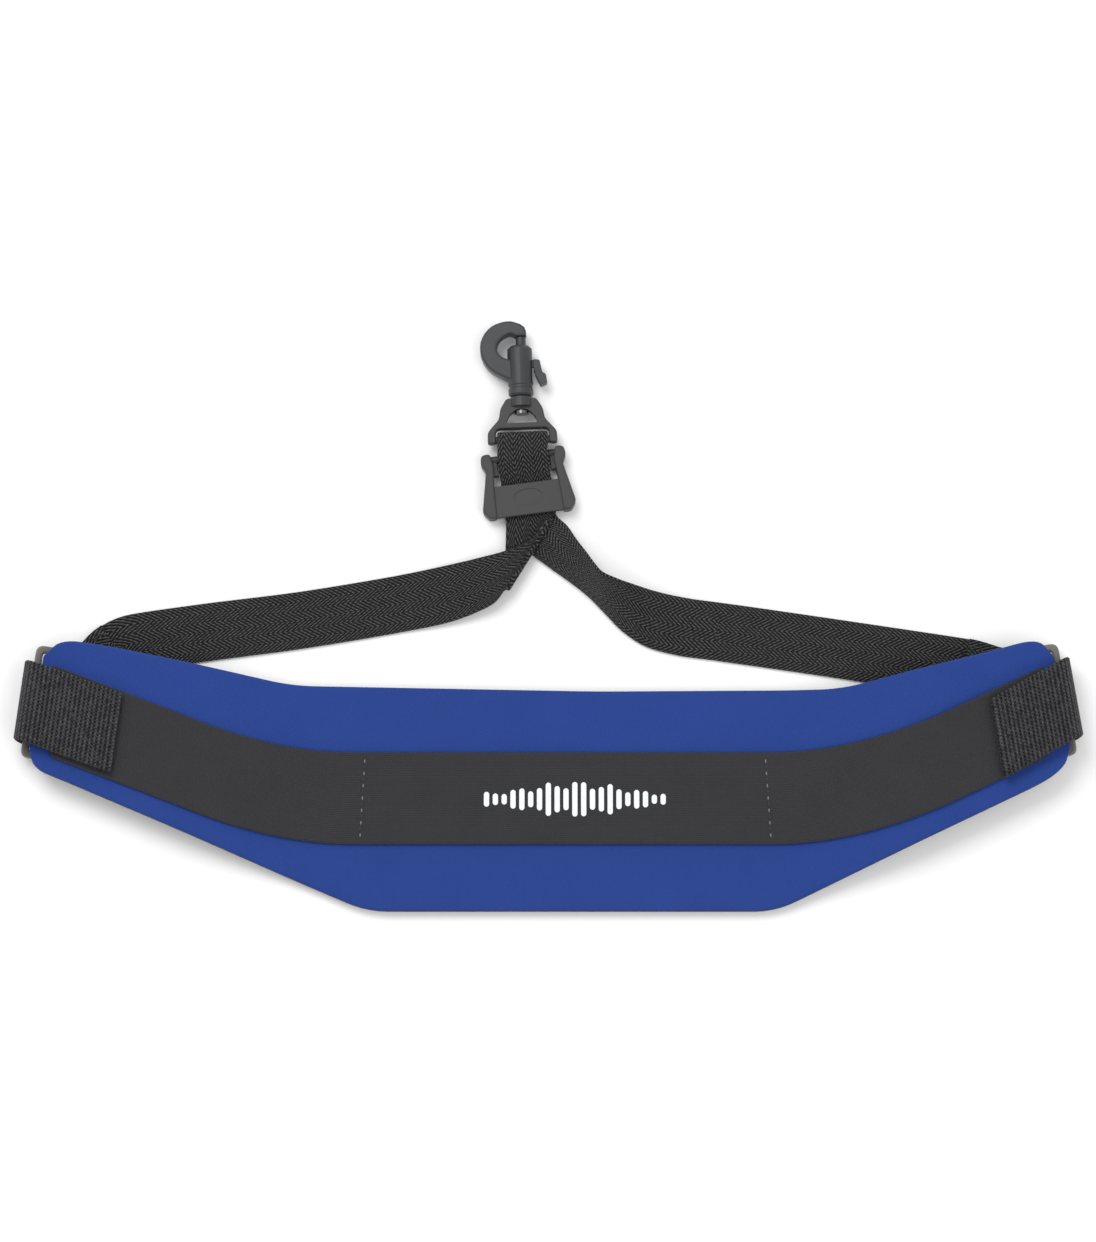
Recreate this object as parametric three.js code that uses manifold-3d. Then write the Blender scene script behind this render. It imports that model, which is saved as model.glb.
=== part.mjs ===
// Saxophone neck strap laid out flat on its back: a padded crescent, a webbing loop, a slider and a
// swivelling bolt hook. Millimetres, +Z up, +X to the wearer's printed-side right, +Y towards the hook.
// The origin is on the table, under the middle of the pad-and-hook outline.
import * as THREE from 'three';
import { mergeVertices } from 'three/addons/utils/BufferGeometryUtils.js';
import Module from 'manifold-3d';

const wasm = await Module();
wasm.setup();

// ---------------------------------------------------------------- driving dimensions
const GAP = 0.3; // clearance between pieces that touch

// neoprene pad
const JERSEY = 0.6;
const FOAM = 3.2;
const TIP_LIFT = 9.2; // the tips ride up over the rings and the sewn strap ends
const LIFT_START = 92; // |x| where the pad leaves the table
const LIFT_END = 160; // |x| where it is fully up
const PAD_TOP = 2 * JERSEY + FOAM + 2 * GAP; // thickness of the whole laminate

// stretch band
const BAND_THICK = 1.2;
const BAND_HALF = 19; // half its height across the pad
const BAND_MID_Y = -77.5;

// webbing
const WEB = 1.5; // thickness of every webbing
const STRAND_WIDTH = 24.4;
const NECK_WIDTH = 21; // the strap gathers a little where it passes the slider
const TAB_WIDTH = 33;

// rectangular rings
const BAR = 3; // side of the ring's bar
const RING_INNER = 41;
const RING_PITCH = 13; // between the centrelines of the two long bars
const OUTER_BAR_Z = 6;
const RING_WRAP = BAR / 2 + GAP + 0.15 + WEB / 2; // bar centre to the middle of the webbing round it
const INNER_BAR_Z = WEB / 2 + RING_WRAP;
const RING_SHIFT = 1.6; // the ring sits off-centre towards the hook

// slider, in its own axes: u across, v along the strap towards the hook
const SLIDER_AT = new THREE.Vector2(-9.2, 56.3);
const SLIDER_TURN = THREE.MathUtils.degToRad(7.5);
const SLIDER_HIGH = 6.6;
const SLIDER_PLATE_TOP = 5.8;
const SLIDER_PLATE_UNDER = 2 * WEB + 3 * GAP;
const SLIDER_BAR_V = 10.2;
const SLIDER_BAR_Z = 3;
const SLIDER_BAR_R = 1.6;

// swivel frame and hook, in their own axes: p across, q along the stem
const SWIVEL_AT = new THREE.Vector2(-10.6, 73.2);
const SWIVEL_TURN = THREE.MathUtils.degToRad(2);
const STEM_Z = 5.2;
const BASE_BAR_R = 1.6;
const BARREL_R = 5.2;
const BARREL_START = 18.4; // q of the barrel's foot
const BARREL_LONG = 21.5;
const BOLT_R = 2.1;
const BOLT_SIDE = 0.6; // the bolt bore sits a little off the stem axis

// ---------------------------------------------------------------- per-side wing data
// rise: the band runs level, then bends up through a parabola into a straight wing.
const WINGS = {
  left: {
    sign: -1,
    bendStart: 78,
    bendEnd: 145,
    slope: 0.38,
    fold: new THREE.Vector2(-217, -37.4),
    along: new THREE.Vector2(40.2, -14.6),
    across: new THREE.Vector2(4, 32.5),
    tabLong: 42.8,
  },
  right: {
    sign: 1,
    bendStart: 92,
    bendEnd: 168,
    slope: 0.47,
    fold: new THREE.Vector2(216.8, -35.8),
    along: new THREE.Vector2(-33, -18.5),
    across: new THREE.Vector2(-4.8, 30.9),
    tabLong: 37.8,
  },
};
for (const wing of Object.values(WINGS)) {
  wing.along.normalize();
  wing.across.normalize();
  // the ring's own direction from its outer bar to its inner bar, square to the bars
  wing.inward = new THREE.Vector2(-wing.sign * wing.across.y, wing.sign * wing.across.x);
}

// ---------------------------------------------------------------- helpers
const vec = (x, y, z) => new THREE.Vector3(x, y, z);
const UP = vec(0, 0, 1);

function meshVolume(position, index) {
  const a = new THREE.Vector3();
  const b = new THREE.Vector3();
  const c = new THREE.Vector3();
  let sum = 0;
  for (let i = 0; i < index.length; i += 3) {
    a.fromArray(position, 3 * index[i]);
    b.fromArray(position, 3 * index[i + 1]);
    c.fromArray(position, 3 * index[i + 2]);
    sum += a.dot(b.cross(c)) / 6;
  }
  return sum;
}

// A closed geometry from vertices and triangles, with its faces turned outwards.
function closedGeometry(vertices, triangles) {
  if (meshVolume(vertices, triangles) < 0) {
    for (let i = 0; i < triangles.length; i += 3) {
      const kept = triangles[i];
      triangles[i] = triangles[i + 1];
      triangles[i + 1] = kept;
    }
  }
  const geometry = new THREE.BufferGeometry();
  geometry.setAttribute('position', new THREE.Float32BufferAttribute(vertices, 3));
  geometry.setIndex(triangles);
  geometry.computeVertexNormals();
  return geometry;
}

// A strip of constant thickness through stations { a, b }: the two edges of the strip at each step.
// With a fixed normal the thickness is measured along it, otherwise square to the strip.
function strip(stations, thickness, fixedNormal = null) {
  const vertices = [];
  const triangles = [];
  const last = stations.length - 1;
  const middle = (i) => stations[i].a.clone().add(stations[i].b);
  stations.forEach(({ a, b }, i) => {
    const ahead = middle(Math.min(i + 1, last)).sub(middle(Math.max(i - 1, 0)));
    const across = b.clone().sub(a);
    const normal = fixedNormal ?? ahead.cross(across).normalize();
    const half = normal.clone().multiplyScalar(thickness / 2);
    const corners = [
      a.clone().add(half),
      b.clone().add(half),
      b.clone().sub(half),
      a.clone().sub(half),
    ];
    corners.forEach((corner) => vertices.push(corner.x, corner.y, corner.z));
  });
  for (let i = 0; i < last; i += 1) {
    for (let k = 0; k < 4; k += 1) {
      const p = 4 * i + k;
      const q = 4 * i + ((k + 1) % 4);
      triangles.push(p, p + 4, q, q, p + 4, q + 4);
    }
  }
  const e = 4 * last;
  triangles.push(0, 1, 2, 0, 2, 3, e, e + 2, e + 1, e, e + 3, e + 2);
  return closedGeometry(vertices, triangles);
}

// Smooth stations through key stations; spans longer than the step are divided, and nothing dips
// into the table.
function smoothStations(keys, step) {
  const curveA = new THREE.CatmullRomCurve3(keys.map((k) => k.a), false, 'centripetal');
  const curveB = new THREE.CatmullRomCurve3(keys.map((k) => k.b), false, 'centripetal');
  const spans = keys.length - 1;
  const out = [];
  for (let i = 0; i < spans; i += 1) {
    const length = Math.max(keys[i].a.distanceTo(keys[i + 1].a), keys[i].b.distanceTo(keys[i + 1].b));
    const parts = Math.max(1, Math.ceil(length / step));
    for (let j = 0; j < parts; j += 1) {
      const t = (i + j / parts) / spans;
      const station = { a: curveA.getPoint(t), b: curveB.getPoint(t) };
      station.a.z = Math.max(station.a.z, WEB / 2);
      station.b.z = Math.max(station.b.z, WEB / 2);
      out.push(station);
    }
  }
  out.push({ a: keys[spans].a.clone(), b: keys[spans].b.clone() });
  return out;
}

// A path through corner points, each corner rounded by a curve that starts cut millimetres before it.
function roundedPath(corners, cut, path = new THREE.Path()) {
  path.moveTo(corners[0].x, corners[0].y);
  for (let i = 1; i < corners.length - 1; i += 1) {
    const here = corners[i];
    const back = here.clone().sub(corners[i - 1]);
    const on = corners[i + 1].clone().sub(here);
    const before = here.clone().sub(back.clone().setLength(Math.min(cut, back.length() * 0.45)));
    const after = here.clone().add(on.clone().setLength(Math.min(cut, on.length() * 0.45)));
    path.lineTo(before.x, before.y);
    path.quadraticCurveTo(here.x, here.y, after.x, after.y);
  }
  const end = corners[corners.length - 1];
  path.lineTo(end.x, end.y);
  return path;
}

// A closed outline with all its corners rounded.
function roundedShape(points, cut) {
  const corners = points.map(([x, y]) => new THREE.Vector2(x, y));
  const start = corners[0].clone().lerp(corners[1], 0.5);
  return roundedPath([start, ...corners.slice(1), corners[0], start], cut, new THREE.Shape());
}

function toSolid(geometry) {
  const bare = geometry.clone();
  bare.deleteAttribute('normal');
  bare.deleteAttribute('uv');
  const merged = mergeVertices(bare, 1e-4);
  return new wasm.Manifold(new wasm.Mesh({
    numProp: 3,
    vertProperties: new Float32Array(merged.attributes.position.array),
    triVerts: new Uint32Array(merged.index.array),
  }));
}

function toGeometry(solid) {
  const { vertProperties, triVerts } = solid.getMesh();
  return closedGeometry(Array.from(vertProperties), Array.from(triVerts));
}

// Plate with rounded edges from an outline, lying between two heights.
function plate(shape, low, high, bevel, curveSegments = 5) {
  const geometry = new THREE.ExtrudeGeometry(shape, {
    depth: high - low - 2 * bevel,
    bevelEnabled: bevel > 0,
    bevelThickness: bevel,
    bevelSize: bevel,
    bevelOffset: -bevel,
    bevelSegments: 2,
    curveSegments,
  });
  geometry.translate(0, 0, low + bevel);
  return geometry;
}

// A round bar between two points.
function roundBar(from, to, radius, sides = 16) {
  const length = from.distanceTo(to);
  const geometry = new THREE.CylinderGeometry(radius, radius, length, sides);
  const turn = new THREE.Quaternion().setFromUnitVectors(vec(0, 1, 0), to.clone().sub(from).normalize());
  geometry.applyQuaternion(turn);
  const centre = from.clone().lerp(to, 0.5);
  geometry.translate(centre.x, centre.y, centre.z);
  return geometry;
}

const object = new THREE.Group();
function add(name, geometry, color, roughness, metalness = 0) {
  const mesh = new THREE.Mesh(geometry, new THREE.MeshStandardMaterial({ color, roughness, metalness }));
  mesh.name = name;
  object.add(mesh);
  return mesh;
}

// ---------------------------------------------------------------- heights over the table
function padLift(x) {
  const t = THREE.MathUtils.smoothstep(Math.abs(x), LIFT_START, LIFT_END);
  return TIP_LIFT * t;
}

function bandMiddle(x) {
  const wing = x < 0 ? WINGS.left : WINGS.right;
  const reach = Math.abs(x);
  const inBend = THREE.MathUtils.clamp(reach, wing.bendStart, wing.bendEnd) - wing.bendStart;
  const bend = (wing.slope * inBend * inBend) / (2 * (wing.bendEnd - wing.bendStart));
  return BAND_MID_Y + bend + wing.slope * Math.max(0, reach - wing.bendEnd);
}

// ---------------------------------------------------------------- pad
const padUpper = roundedPath([
  new THREE.Vector2(-207, -19.5),
  new THREE.Vector2(-200, -12.6),
  new THREE.Vector2(-181, -15.4),
  new THREE.Vector2(-106, -30.6),
  new THREE.Vector2(20, -33),
  new THREE.Vector2(121, -32.4),
  new THREE.Vector2(178, -18.6),
  new THREE.Vector2(201.5, -12.2),
  new THREE.Vector2(207.4, -19.5),
], 9);
const padLower = roundedPath([
  new THREE.Vector2(-212.3, -56.5),
  new THREE.Vector2(-210.5, -66),
  new THREE.Vector2(-199, -70.6),
  new THREE.Vector2(-74, -123.6),
  new THREE.Vector2(93, -123.6),
  new THREE.Vector2(204, -71),
  new THREE.Vector2(212, -64.5),
  new THREE.Vector2(213.7, -54.8),
], 9);
const PAD_STEPS = 84;

// Shares of the pad's length at which its upper edge bends. The layers that carry the collision
// shape are cut there, so that their hulls leave the neck's side of the crescent open.
const PAD_BENDS = [0.248, 0.783];
const PAD_CUT = GAP / padUpper.getLength();
const PAD_SECTIONS = {
  left: [0, PAD_BENDS[0] - PAD_CUT / 2],
  middle: [PAD_BENDS[0] + PAD_CUT / 2, PAD_BENDS[1] - PAD_CUT / 2],
  right: [PAD_BENDS[1] + PAD_CUT / 2, 1],
};

function padLayer(bottom, thickness, from = 0, to = 1) {
  const stations = [];
  const steps = Math.round(PAD_STEPS * (to - from));
  for (let i = 0; i <= steps; i += 1) {
    const share = from + ((to - from) * i) / steps;
    const upper = padUpper.getPointAt(share);
    const lower = padLower.getPointAt(share);
    const middle = bottom + thickness / 2;
    stations.push({
      a: vec(upper.x, upper.y, padLift(upper.x) + middle),
      b: vec(lower.x, lower.y, padLift(lower.x) + middle),
    });
  }
  return strip(stations, thickness, UP);
}
for (const [place, [from, to]] of Object.entries(PAD_SECTIONS)) {
  add(`pad_back_jersey_${place}`, padLayer(0, JERSEY, from, to), 0x17181b, 0.9);
  add(`pad_core_${place}`, padLayer(JERSEY + GAP, FOAM, from, to), 0x141416, 0.85);
}
add('pad_front_jersey', padLayer(JERSEY + FOAM + 2 * GAP, JERSEY), 0x304992, 0.85);

// ---------------------------------------------------------------- stretch band and its two cross seams
const BAND_BOTTOM = PAD_TOP + GAP;
const bandStations = [];
for (let x = -203; x <= 203; x += 7) {
  const z = padLift(x) + BAND_BOTTOM + BAND_THICK / 2;
  bandStations.push({
    a: vec(x, bandMiddle(x) + BAND_HALF, z),
    b: vec(x, bandMiddle(x) - BAND_HALF, z),
  });
}
add('stretch_band', strip(bandStations, BAND_THICK, UP), 0x39393c, 0.8);

function crossSeam(name, topX, footX) {
  const z = BAND_BOTTOM + BAND_THICK + GAP;
  const y = bandMiddle(topX);
  const inset = BAND_HALF - 0.8;
  const thread = strip([
    { a: vec(topX - 0.4, y + inset, z), b: vec(topX + 0.4, y + inset, z) },
    { a: vec(footX - 0.4, y - inset, z), b: vec(footX + 0.4, y - inset, z) },
  ], 0.4, UP);
  add(name, thread, 0x232325, 0.7);
}
crossSeam('band_seam_left', -75.1, -77);
crossSeam('band_seam_right', 89.2, 91.3);

// ---------------------------------------------------------------- webbing tabs
// Each tab runs from its end under the pad, round the ring's outer bar and the pad's tip, over the
// band, and turns under itself at the inner end. The profile is [distance from the fold, height].
const TAB_REAR_Z = TIP_LIFT - GAP - WEB / 2;
const TAB_UNDER_Z = TIP_LIFT + BAND_BOTTOM + BAND_THICK + GAP + WEB / 2;
const TAB_TOP_Z = TAB_UNDER_Z + WEB + GAP;
const TAB_REAR_LONG = 29; // how far the rear leg reaches under the pad
const BAR_FROM_FOLD = 4.6;

function tabProfile(long) {
  const turn = (TAB_TOP_Z - TAB_UNDER_Z) / 2;
  const profile = [
    [TAB_REAR_LONG, TAB_REAR_Z],
    [16, TAB_REAR_Z],
    [12.2, TAB_REAR_Z - 1.2],
    [8.4, OUTER_BAR_Z - 2.3],
    [BAR_FROM_FOLD + 0.6, OUTER_BAR_Z - 3],
    [2.3, OUTER_BAR_Z - 2.2],
    [0.9, OUTER_BAR_Z + 0.4],
    [0.75, OUTER_BAR_Z + 3.6],
    [1.2, OUTER_BAR_Z + 7.4],
    [3.6, TAB_TOP_Z - 1.4],
    [8, TAB_TOP_Z],
    [12, TAB_TOP_Z],
    [long - turn - 3, TAB_TOP_Z],
    [long - turn, TAB_TOP_Z],
  ];
  for (let angle = 60; angle <= 120; angle += 30) {
    const rad = THREE.MathUtils.degToRad(90 - angle);
    profile.push([long - turn + turn * Math.cos(rad), (TAB_TOP_Z + TAB_UNDER_Z) / 2 + turn * Math.sin(rad)]);
  }
  profile.push([long - turn, TAB_UNDER_Z], [long - turn - 3, TAB_UNDER_Z], [13, TAB_UNDER_Z]);
  return profile;
}

function tabPoint(wing, distance, side, z) {
  const p = wing.fold.clone().addScaledVector(wing.along, distance).addScaledVector(wing.across, side);
  return vec(p.x, p.y, z);
}

function addTab(side) {
  const wing = WINGS[side];
  const keys = tabProfile(wing.tabLong).map(([distance, z]) => ({
    a: tabPoint(wing, distance, TAB_WIDTH / 2, z),
    b: tabPoint(wing, distance, -TAB_WIDTH / 2, z),
  }));
  add(`${side}_tab`, strip(smoothStations(keys, 3), WEB), 0x343539, 0.85);
}
addTab('left');
addTab('right');

// Box-and-cross stitching as thin bars lying on the webbing: corners in the webbing's own plane.
function boxCross(corners, z) {
  const lines = [[0, 1], [1, 2], [2, 3], [3, 0], [0, 2], [1, 3]];
  let all = null;
  for (const [i, j] of lines) {
    const along = corners[j].clone().sub(corners[i]).setLength(0.35);
    const square = new THREE.Vector2(-along.y, along.x);
    const from = corners[i].clone().sub(along);
    const to = corners[j].clone().add(along);
    const bar = strip([
      { a: vec(from.x + square.x, from.y + square.y, z), b: vec(from.x - square.x, from.y - square.y, z) },
      { a: vec(to.x + square.x, to.y + square.y, z), b: vec(to.x - square.x, to.y - square.y, z) },
    ], 0.4, UP);
    all = all ? all.add(toSolid(bar)) : toSolid(bar);
  }
  return toGeometry(all);
}

function addTabStitching(side) {
  const wing = WINGS[side];
  const half = TAB_WIDTH / 2 - 3;
  const flat = (distance, offset) => {
    const p = tabPoint(wing, distance, offset, 0);
    return new THREE.Vector2(p.x, p.y);
  };
  const near = 12;
  const far = wing.tabLong - 4;
  const corners = [flat(near, half), flat(far, half), flat(far, -half), flat(near, -half)];
  add(`${side}_tab_stitching`, boxCross(corners, TAB_TOP_Z + WEB / 2 + GAP + 0.1), 0x1c1c1f, 0.7);
}
addTabStitching('left');
addTabStitching('right');

// ---------------------------------------------------------------- rings
function ringBarCentre(wing, inner) {
  const p = wing.fold.clone()
    .addScaledVector(wing.along, BAR_FROM_FOLD)
    .addScaledVector(wing.across, RING_SHIFT);
  if (inner) {
    p.addScaledVector(wing.inward, Math.sqrt(RING_PITCH ** 2 - (OUTER_BAR_Z - INNER_BAR_Z) ** 2));
  }
  return vec(p.x, p.y, inner ? INNER_BAR_Z : OUTER_BAR_Z);
}

function rectangle(long, wide, corner) {
  return roundedShape([
    [-wide / 2, -long / 2],
    [wide / 2, -long / 2],
    [wide / 2, long / 2],
    [-wide / 2, long / 2],
  ], corner);
}

function addRing(side) {
  const wing = WINGS[side];
  const shape = rectangle(RING_INNER + 2 * BAR, RING_PITCH + BAR, 3.4);
  shape.holes.push(rectangle(RING_INNER, RING_PITCH - BAR, 1.4));
  const ring = plate(shape, -BAR / 2, BAR / 2, 0.85, 4);
  const outer = ringBarCentre(wing, false);
  const inner = ringBarCentre(wing, true);
  const xAxis = inner.clone().sub(outer).normalize();
  const yAxis = vec(wing.across.x, wing.across.y, 0);
  const zAxis = xAxis.clone().cross(yAxis).normalize();
  const place = new THREE.Matrix4().makeBasis(xAxis, yAxis, zAxis);
  place.setPosition(outer.lerp(inner, 0.5));
  ring.applyMatrix4(place);
  const flipped = zAxis.z < 0;
  add(`${side}_ring`, flipped ? toGeometry(toSolid(ring)) : ring, 0x77756f, 0.45);
}
addRing('left');
addRing('right');

// ---------------------------------------------------------------- strap webbing
const FLOOR_Z = WEB / 2;
const LAYER = WEB + GAP;
const HALF = STRAND_WIDTH / 2;

// Stations along a plan path of moves [length, turn in degrees], one station per step.
function trace(start, headingDeg, moves) {
  let heading = THREE.MathUtils.degToRad(headingDeg);
  const at = start.clone();
  const out = [{ at: at.clone(), heading, run: 0 }];
  let run = 0;
  for (const [length, turnDeg] of moves) {
    const steps = Math.max(1, Math.ceil(length / 3.5));
    const turn = THREE.MathUtils.degToRad(turnDeg) / steps;
    for (let i = 0; i < steps; i += 1) {
      heading += turn / 2;
      at.x += (Math.cos(heading) * length) / steps;
      at.y += (Math.sin(heading) * length) / steps;
      heading += turn / 2;
      run += length / steps;
      out.push({ at: at.clone(), heading, run });
    }
  }
  return out;
}

// Lead-in from a ring: how the strap leaves the ring's inner bar, and the sewn end lying on it.
const LEADS = {
  left: { heading: 20, moves: [[2, 0], [10.5, 30], [9.5, 0], [14.3, -41]] },
  right: { heading: 158, moves: [[18, 0], [14, 14]] },
};
const SEWN_LONG = 30; // the sewn end, from the bar
const SEWN_DROP = [14.5, 19.5]; // where it comes down onto the strap
const STRAND_ON_BAR = 6.2; // the strap has slid along the inner bar towards the hook

function lead(side) {
  const wing = WINGS[side];
  const bar = ringBarCentre(wing, true);
  const start = new THREE.Vector2(bar.x, bar.y).addScaledVector(wing.across, STRAND_ON_BAR);
  return trace(start, LEADS[side].heading, LEADS[side].moves);
}

// Edge points of a lead station. Near the bar the strap's width lies along the bar.
function leadEdges(side, step, z) {
  const wing = WINGS[side];
  const square = new THREE.Vector2(-Math.sin(step.heading), Math.cos(step.heading));
  if (square.y < 0) {
    square.negate();
  }
  const onBar = THREE.MathUtils.clamp(1 - step.run / 9, 0, 1);
  const across = square.lerp(wing.across, onBar).normalize().multiplyScalar(HALF);
  return {
    a: vec(step.at.x + across.x, step.at.y + across.y, z),
    b: vec(step.at.x - across.x, step.at.y - across.y, z),
  };
}

// From the sewn end, over the ring's inner bar and out along the table.
function leadKeys(side) {
  const wing = WINGS[side];
  const steps = lead(side);
  const radius = RING_WRAP;
  const keys = [];
  const tail = steps.filter((step) => step.run <= SEWN_LONG && step.run > 1).reverse();
  for (const step of tail) {
    const down = THREE.MathUtils.smoothstep(step.run, ...SEWN_DROP);
    keys.push(leadEdges(side, step, THREE.MathUtils.lerp(INNER_BAR_Z + radius, FLOOR_Z + LAYER, down)));
  }
  const bar = steps[0];
  for (let angle = 90; angle <= 270; angle += 22.5) {
    const rad = THREE.MathUtils.degToRad(angle);
    const shift = wing.inward.clone().multiplyScalar(radius * Math.cos(rad));
    const edges = leadEdges(side, bar, INNER_BAR_Z + radius * Math.sin(rad));
    edges.a.add(vec(shift.x, shift.y, 0));
    edges.b.add(vec(shift.x, shift.y, 0));
    keys.push(edges);
  }
  for (const step of steps.filter((s) => s.run > 1)) {
    keys.push(leadEdges(side, step, FLOOR_Z));
  }
  return keys;
}

// Left strand: upper and lower edge from the pad to the diagonal fold.
const LEFT_RUN = [
  [[-144.4, 4.2, 0.75], [-144.4, -20.2, 0.75]],
  [[-102.9, 9.5, 0.75], [-102.9, -14.7, 0.75]],
  [[-61.4, 16.5, 0.85], [-61.4, -7.7, 0.85]],
  [[-40.7, 20.6, 2.6], [-40.7, -3.6, 2.4]],
  [[-28.2, 23.2, 4.8], [-29, 0.4, 4.4]],
  [[-16.5, 26.2, 6.4], [-22, 4, 6]],
  [[-6, 31.4, 6.5], [-19, 7.6, 6.7]],
];
// Fold line of the left strand, upper end and lower end, and the radius of the soft fold.
const FOLD_UPPER = vec(0.6, 39.8, 4.1);
const FOLD_LOWER = vec(-17.6, 9.8, 5.7);
const FOLD_R = 1.15;

// Right strand: the inside edge lifts as the strap turns on edge, then lies down again.
const RIGHT_RUN = [
  [[8, 36.6, 5.4], [-12.2, 30.6, 0.9]],
  [[11.6, 30, 11], [-7, 25.4, 1]],
  [[15.4, 23.6, 16.6], [1.2, 19.4, 1]],
  [[18.8, 17.8, 20.6], [10.8, 12.6, 1]],
  [[22, 13.8, 22], [17.6, 7, 1]],
  [[27.2, 11.8, 20], [23.6, 0.6, 1]],
  [[35, 10.2, 14.5], [30.4, -6.8, 1]],
  [[45, 8.4, 7.4], [40, -13.4, 0.9]],
  [[58, 6.5, 2.2], [53, -17.2, 0.8]],
  [[72, 4.8, 0.75], [68.6, -19.4, 0.75]],
  [[104.6, 0.1, 0.75], [101.2, -24.1, 0.75]],
  [[146, -6.1, 0.75], [142.6, -30.2, 0.75]],
];

const sliderAxis = vec(-Math.sin(SLIDER_TURN), Math.cos(SLIDER_TURN), 0);
const sliderAcross = vec(Math.cos(SLIDER_TURN), Math.sin(SLIDER_TURN), 0);
const swivelAxis = vec(-Math.sin(SWIVEL_TURN), Math.cos(SWIVEL_TURN), 0);
const swivelAcross = vec(Math.cos(SWIVEL_TURN), Math.sin(SWIVEL_TURN), 0);

function neckStation(v, z) {
  const centre = vec(SLIDER_AT.x, SLIDER_AT.y, z).addScaledVector(sliderAxis, v);
  const half = NECK_WIDTH / 2;
  return {
    a: centre.clone().addScaledVector(sliderAcross, half),
    b: centre.clone().addScaledVector(sliderAcross, -half),
  };
}

function swivelStation(q, z) {
  const centre = vec(SWIVEL_AT.x, SWIVEL_AT.y, z).addScaledVector(swivelAxis, q);
  const half = NECK_WIDTH / 2;
  return {
    a: centre.clone().addScaledVector(swivelAcross, half),
    b: centre.clone().addScaledVector(swivelAcross, -half),
  };
}

function runKeys(rows) {
  return rows.map(([a, b]) => ({ a: vec(...a), b: vec(...b) }));
}

// The soft diagonal fold: from the outgoing layer on top, round the fold line, to the layer below.
function foldKeys() {
  const line = FOLD_LOWER.clone().sub(FOLD_UPPER).normalize();
  const bulge = vec(-line.y, line.x, 0).normalize();
  const keys = [];
  for (let angle = 0; angle <= 180; angle += 30) {
    const rad = THREE.MathUtils.degToRad(angle);
    const offset = bulge.clone()
      .multiplyScalar(FOLD_R * Math.sin(rad))
      .addScaledVector(UP, FOLD_R * Math.cos(rad));
    keys.push({ a: FOLD_UPPER.clone().add(offset), b: FOLD_LOWER.clone().add(offset) });
  }
  return keys;
}

// Through the slider, over its bar, round the swivel's base bar and back underneath.
function neckKeys() {
  const near = SLIDER_BAR_R + GAP + WEB / 2;
  const far = near + LAYER;
  const under = FLOOR_Z + GAP;
  const over = under + LAYER;
  const keys = [];
  const sliderArc = (radius, degrees) => {
    const rad = THREE.MathUtils.degToRad(degrees);
    return neckStation(SLIDER_BAR_V + radius * Math.cos(rad), SLIDER_BAR_Z + radius * Math.sin(rad));
  };
  const swivelArc = (degrees) => {
    const rad = THREE.MathUtils.degToRad(degrees);
    const radius = BASE_BAR_R + GAP + WEB / 2;
    return swivelStation(radius * Math.cos(rad), STEM_Z + radius * Math.sin(rad));
  };
  keys.push(neckStation(-15.5, over), neckStation(-9, over), neckStation(-2, over));
  keys.push(neckStation(2.4, over + 1.6));
  for (const degrees of [125, 105, 85]) {
    keys.push(sliderArc(far, degrees));
  }
  for (let degrees = 80; degrees >= -80; degrees -= 26.6667) {
    keys.push(swivelArc(degrees));
  }
  for (const degrees of [-100, -118]) {
    keys.push(swivelArc(degrees));
  }
  for (const degrees of [58, 80, 104, 128]) {
    keys.push(sliderArc(near, degrees));
  }
  keys.push(neckStation(2.6, under + 1.1));
  keys.push(neckStation(-2, under), neckStation(-9, under), neckStation(-15.5, under));
  return keys;
}

const strapKeys = [
  ...leadKeys('left'),
  ...runKeys(LEFT_RUN),
  ...foldKeys(),
  ...neckKeys(),
  ...runKeys(RIGHT_RUN),
  ...leadKeys('right').reverse(),
];
add('strap_webbing', strip(smoothStations(strapKeys, 5), WEB), 0x353538, 0.85);

// Box stitching that closes the strap round each ring, on the sewn end.
function addStrandStitching(side) {
  const steps = lead(side);
  const [from, to] = [23, 28];
  const closer = (run, a, b) => (Math.abs(b.run - run) < Math.abs(a.run - run) ? b : a);
  const pick = (run) => steps.reduce((best, step) => closer(run, best, step));
  const anchor = pick((from + to) / 2);
  const along = new THREE.Vector2(Math.cos(anchor.heading), Math.sin(anchor.heading));
  const across = new THREE.Vector2(-along.y, along.x);
  const half = HALF - 3;
  const point = (run, offset) => anchor.at.clone()
    .addScaledVector(along, run - anchor.run)
    .addScaledVector(across, offset);
  const corners = [point(from, half), point(to, half), point(to, -half), point(from, -half)];
  const z = FLOOR_Z + LAYER + WEB / 2 + GAP + 0.1;
  add(`${side}_strand_stitching`, boxCross(corners, z), 0x1c1c1f, 0.7);
}
addStrandStitching('left');
addStrandStitching('right');

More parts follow.
